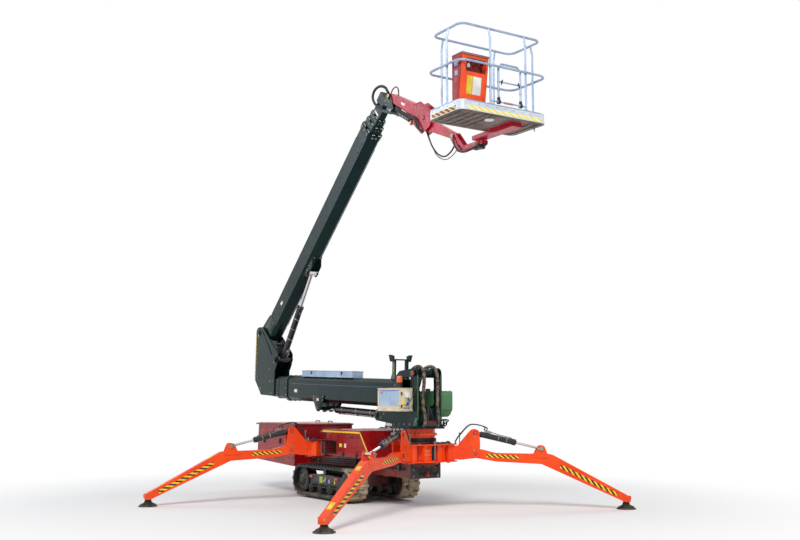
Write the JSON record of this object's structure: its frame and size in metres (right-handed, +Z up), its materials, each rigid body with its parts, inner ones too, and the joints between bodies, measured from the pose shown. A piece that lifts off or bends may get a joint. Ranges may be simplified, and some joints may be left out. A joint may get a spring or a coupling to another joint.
{
  "type": "tracked spider lift",
  "caption": "Tracked aerial work platform with swing-out outriggers, a slewing turret, telescopic lower and upper booms, a jib and a levelled basket.",
  "frame": {"origin": "centre of the machine's box at ground level, as it stands on its outriggers", "axes": "+X towards the turret end and the basket, +Y towards the far side, +Z up"},
  "size_m": [7.9158, 5.9304, 6.4363],
  "materials": {
    "track": "worn rubber",
    "chassis_paint": "gloss paint",
    "outrigger_paint": "gloss paint",
    "boom_paint": "gloss paint",
    "jib_paint": "gloss paint",
    "tank_paint": "gloss paint",
    "console_paint": "gloss paint",
    "box_paint": "satin paint",
    "ram_paint": "satin paint",
    "rod_chrome": "polished",
    "bare_aluminium": "brushed",
    "gear_steel": "machined",
    "engine_iron": "painted",
    "pad_rubber": "moulded",
    "lamp": "clear amber"
  },
  "bodies": {
    "chassis": {"chassis_frame": "chassis_paint", "engine_block": "engine_iron", "front_beam": "outrigger_paint", "hood": "chassis_paint", "rear_beam": "chassis_paint", "rear_cover": "chassis_paint", "slew_gear": "gear_steel", "track_far": "track", "track_near": "track", "valve_block": "gear_steel"},
    "bracket_front_near": {"bracket_front_near": "outrigger_paint"},
    "leg_front_near": {"leg_front_near": "outrigger_paint", "pad_front_near": "pad_rubber"},
    "barrel_front_near": {"barrel_front_near": "ram_paint"},
    "rod_front_near": {"rod_front_near": "rod_chrome"},
    "bracket_front_far": {"bracket_front_far": "outrigger_paint"},
    "leg_front_far": {"leg_front_far": "outrigger_paint", "pad_front_far": "pad_rubber"},
    "barrel_front_far": {"barrel_front_far": "ram_paint"},
    "rod_front_far": {"rod_front_far": "rod_chrome"},
    "bracket_rear_near": {"bracket_rear_near": "outrigger_paint"},
    "leg_rear_near": {"leg_rear_near": "outrigger_paint", "pad_rear_near": "pad_rubber"},
    "barrel_rear_near": {"barrel_rear_near": "ram_paint"},
    "rod_rear_near": {"rod_rear_near": "rod_chrome"},
    "bracket_rear_far": {"bracket_rear_far": "outrigger_paint"},
    "leg_rear_far": {"leg_rear_far": "outrigger_paint", "pad_rear_far": "pad_rubber"},
    "barrel_rear_far": {"barrel_rear_far": "ram_paint"},
    "rod_rear_far": {"rod_rear_far": "rod_chrome"},
    "turret": {"beacon": "lamp", "control_box": "box_paint", "slew_ring": "outrigger_paint", "tank_box": "tank_paint", "turret_frame": "boom_paint"},
    "lower_boom": {"lower_boom_outer": "boom_paint", "tool_tray": "bare_aluminium"},
    "lower_mid": {"lower_boom_mid": "boom_paint"},
    "lower_inner": {"elbow": "boom_paint", "lower_boom_inner": "boom_paint"},
    "upper_boom": {"upper_boom_outer": "boom_paint"},
    "upper_second": {"upper_boom_second": "boom_paint"},
    "upper_third": {"upper_boom_third": "boom_paint"},
    "upper_fourth": {"upper_boom_fourth": "boom_paint"},
    "jib": {"jib_arm": "jib_paint"},
    "basket_mount": {"basket_mount": "jib_paint"},
    "basket": {"basket_carrier": "jib_paint", "basket_pan": "bare_aluminium", "basket_rails": "bare_aluminium", "console": "console_paint"},
    "gate": {"basket_gate": "bare_aluminium"},
    "lift_barrel": {"lift_ram_barrel": "ram_paint"},
    "lift_rod": {"lift_ram_rod": "rod_chrome"},
    "upper_rod": {"upper_ram_rod": "rod_chrome"},
    "upper_barrel": {"upper_ram_barrel": "ram_paint"},
    "jib_barrel": {"jib_ram_barrel": "ram_paint"},
    "jib_rod": {"jib_ram_rod": "rod_chrome"}
  },
  "joints": [
    {"name": "swing_front_near", "type": "hinge", "parent": "chassis", "child": "bracket_front_near", "pos_m": [1.69298, 0.04303, 0], "axis": [0, 0, -1], "range_deg": [-26.6, 23.4]},
    {"name": "lift_leg_front_near", "type": "hinge", "parent": "bracket_front_near", "child": "leg_front_near", "pos_m": [1.90767, -0.28256, 0.791], "axis": [-0.8348, -0.5505, 0], "range_deg": [0, 72]},
    {"name": "leg_ram_turn_front_near", "type": "hinge", "parent": "bracket_front_near", "child": "barrel_front_near", "pos_m": [1.90767, -0.28256, 1.076], "axis": [-0.8348, -0.5505, 0], "range_deg": [0, 83.1]},
    {"name": "leg_ram_stroke_front_near", "type": "slide", "parent": "barrel_front_near", "child": "rod_front_near", "axis": [0.5361, -0.813, -0.2273], "range_m": [-0.2965, 0]},
    {"name": "swing_front_far", "type": "hinge", "parent": "chassis", "child": "bracket_front_far", "pos_m": [1.69298, 0.70303, 0], "axis": [0, 0, 1], "range_deg": [-26.6, 23.4]},
    {"name": "lift_leg_front_far", "type": "hinge", "parent": "bracket_front_far", "child": "leg_front_far", "pos_m": [1.90767, 1.02862, 0.791], "axis": [0.8348, -0.5505, 0], "range_deg": [0, 72]},
    {"name": "leg_ram_turn_front_far", "type": "hinge", "parent": "bracket_front_far", "child": "barrel_front_far", "pos_m": [1.90767, 1.02862, 1.076], "axis": [0.8348, -0.5505, 0], "range_deg": [0, 83.1]},
    {"name": "leg_ram_stroke_front_far", "type": "slide", "parent": "barrel_front_far", "child": "rod_front_far", "axis": [0.5361, 0.813, -0.2273], "range_m": [-0.2965, 0]},
    {"name": "swing_rear_near", "type": "hinge", "parent": "chassis", "child": "bracket_rear_near", "pos_m": [-0.50102, -0.32097, 0], "axis": [0, 0, 1], "range_deg": [-50, 0]},
    {"name": "lift_leg_rear_near", "type": "hinge", "parent": "bracket_rear_near", "child": "leg_rear_near", "pos_m": [-0.56874, -0.70504, 0.791], "axis": [-0.9848, 0.1736, 0], "range_deg": [0, 72]},
    {"name": "leg_ram_turn_rear_near", "type": "hinge", "parent": "bracket_rear_near", "child": "barrel_rear_near", "pos_m": [-0.56874, -0.70504, 1.076], "axis": [-0.9848, 0.1736, 0], "range_deg": [0, 83.1]},
    {"name": "leg_ram_stroke_rear_near", "type": "slide", "parent": "barrel_rear_near", "child": "rod_rear_near", "axis": [-0.1691, -0.959, -0.2273], "range_m": [-0.2965, 0]},
    {"name": "swing_rear_far", "type": "hinge", "parent": "chassis", "child": "bracket_rear_far", "pos_m": [-0.50102, 1.06703, 0], "axis": [0, 0, -1], "range_deg": [-2, 48]},
    {"name": "lift_leg_rear_far", "type": "hinge", "parent": "bracket_rear_far", "child": "leg_rear_far", "pos_m": [-0.83175, 1.2737, 0.791], "axis": [0.5299, 0.848, 0], "range_deg": [0, 72]},
    {"name": "leg_ram_turn_rear_far", "type": "hinge", "parent": "bracket_rear_far", "child": "barrel_rear_far", "pos_m": [-0.83175, 1.2737, 1.076], "axis": [0.5299, 0.848, 0], "range_deg": [0, 83.1]},
    {"name": "leg_ram_stroke_rear_far", "type": "slide", "parent": "barrel_rear_far", "child": "rod_rear_far", "axis": [-0.8258, 0.516, -0.2273], "range_m": [-0.2965, 0]},
    {"name": "slew", "type": "hinge", "parent": "chassis", "child": "turret", "pos_m": [1.42898, 0.37303, 0], "axis": [0, 0, 1], "range_deg": [-355, 0]},
    {"name": "luff", "type": "hinge", "parent": "turret", "child": "lower_boom", "pos_m": [1.61398, 0.37303, 1.933], "axis": [0, -1, 0], "range_deg": [-70, 0]},
    {"name": "lift_ram_turn", "type": "hinge", "parent": "turret", "child": "lift_barrel", "pos_m": [0.58898, 0.37303, 1.33], "axis": [0, -1, 0], "range_deg": [-79.3, 0]},
    {"name": "lift_ram_stroke", "type": "slide", "parent": "lift_barrel", "child": "lift_rod", "axis": [-0.9991, 0, 0.0414], "range_m": [0, 1.306]},
    {"name": "lower_telescope", "type": "slide", "parent": "lower_boom", "child": "lower_mid", "axis": [0.9995, 0, -0.0326], "range_m": [-1.6, 0]},
    {"name": "lower_telescope_inner", "type": "slide", "parent": "lower_mid", "child": "lower_inner", "axis": [0.9995, 0, -0.0326], "range_m": [-1.6, 0]},
    {"name": "elbow", "type": "hinge", "parent": "lower_inner", "child": "upper_boom", "pos_m": [-3.79102, 0.37303, 2.82], "axis": [0, 1, 0], "range_deg": [-20, 43.9]},
    {"name": "upper_ram_turn", "type": "hinge", "parent": "upper_boom", "child": "upper_rod", "pos_m": [-1.96997, 0.37303, 3.77363], "axis": [0, 1, 0], "range_deg": [-2.45, 5.3]},
    {"name": "upper_ram_stroke", "type": "slide", "parent": "upper_rod", "child": "upper_barrel", "axis": [-0.5959, 0, -0.803], "range_m": [-0.6236, 0.2842]},
    {"name": "upper_telescope", "type": "slide", "parent": "upper_boom", "child": "upper_second", "axis": [-0.7547, 0, -0.6561], "range_m": [-3.2, 0]},
    {"name": "upper_telescope_third", "type": "slide", "parent": "upper_second", "child": "upper_third", "axis": [-0.7547, 0, -0.6561], "range_m": [-3.2, 0]},
    {"name": "upper_telescope_fourth", "type": "slide", "parent": "upper_third", "child": "upper_fourth", "axis": [-0.7547, 0, -0.6561], "range_m": [-3.2, 0]},
    {"name": "jib", "type": "hinge", "parent": "upper_fourth", "child": "jib", "pos_m": [0.70898, 0.37303, 6.3], "axis": [0, -1, 0], "range_deg": [-12, 60]},
    {"name": "jib_ram_turn", "type": "hinge", "parent": "upper_fourth", "child": "jib_barrel", "pos_m": [0.77898, 0.37303, 6.051], "axis": [0, -1, 0], "range_deg": [-13, 64.9]},
    {"name": "jib_ram_stroke", "type": "slide", "parent": "jib_barrel", "child": "jib_rod", "axis": [0.8681, 0, -0.4965], "range_m": [-0.0505, 0.2516]},
    {"name": "basket_level", "type": "hinge", "parent": "jib", "child": "basket_mount", "pos_m": [2.37898, 0.37303, 5.29], "axis": [0, 1, 0], "range_deg": [-43.9, 20]},
    {"name": "basket_turn", "type": "hinge", "parent": "basket_mount", "child": "basket", "pos_m": [2.98898, 0.37303, 5.29], "axis": [0, 0, 1], "range_deg": [-62, 62]},
    {"name": "gate", "type": "hinge", "parent": "basket", "child": "gate", "pos_m": [3.90498, 0.14303, 5.345], "axis": [0, -1, 0], "range_deg": [0, 80]}
  ],
  "couplings": [
    {"joint": "leg_ram_turn_front_near", "follows": "lift_leg_front_near", "ratio": 1.153},
    {"joint": "leg_ram_stroke_front_near", "follows": "lift_leg_front_near", "m_per_rad": -0.2357},
    {"joint": "leg_ram_turn_front_far", "follows": "lift_leg_front_far", "ratio": 1.153},
    {"joint": "leg_ram_stroke_front_far", "follows": "lift_leg_front_far", "m_per_rad": -0.2357},
    {"joint": "leg_ram_turn_rear_near", "follows": "lift_leg_rear_near", "ratio": 1.153},
    {"joint": "leg_ram_stroke_rear_near", "follows": "lift_leg_rear_near", "m_per_rad": -0.2357},
    {"joint": "leg_ram_turn_rear_far", "follows": "lift_leg_rear_far", "ratio": 1.153},
    {"joint": "leg_ram_stroke_rear_far", "follows": "lift_leg_rear_far", "m_per_rad": -0.2357},
    {"joint": "lift_ram_turn", "follows": "luff", "ratio": 1.1306},
    {"joint": "lift_ram_stroke", "follows": "luff", "m_per_rad": -1.0678},
    {"joint": "lower_telescope_inner", "follows": "lower_telescope", "ratio": 1},
    {"joint": "upper_ram_turn", "follows": "elbow", "ratio": 0.12},
    {"joint": "upper_ram_stroke", "follows": "elbow", "m_per_rad": -0.8136},
    {"joint": "upper_telescope_third", "follows": "upper_telescope", "ratio": 1},
    {"joint": "upper_telescope_fourth", "follows": "upper_telescope", "ratio": 1},
    {"joint": "jib_ram_turn", "follows": "jib", "ratio": 1.08},
    {"joint": "jib_ram_stroke", "follows": "jib", "m_per_rad": 0.24},
    {"joint": "basket_level", "follows": "elbow", "ratio": -1}
  ]
}
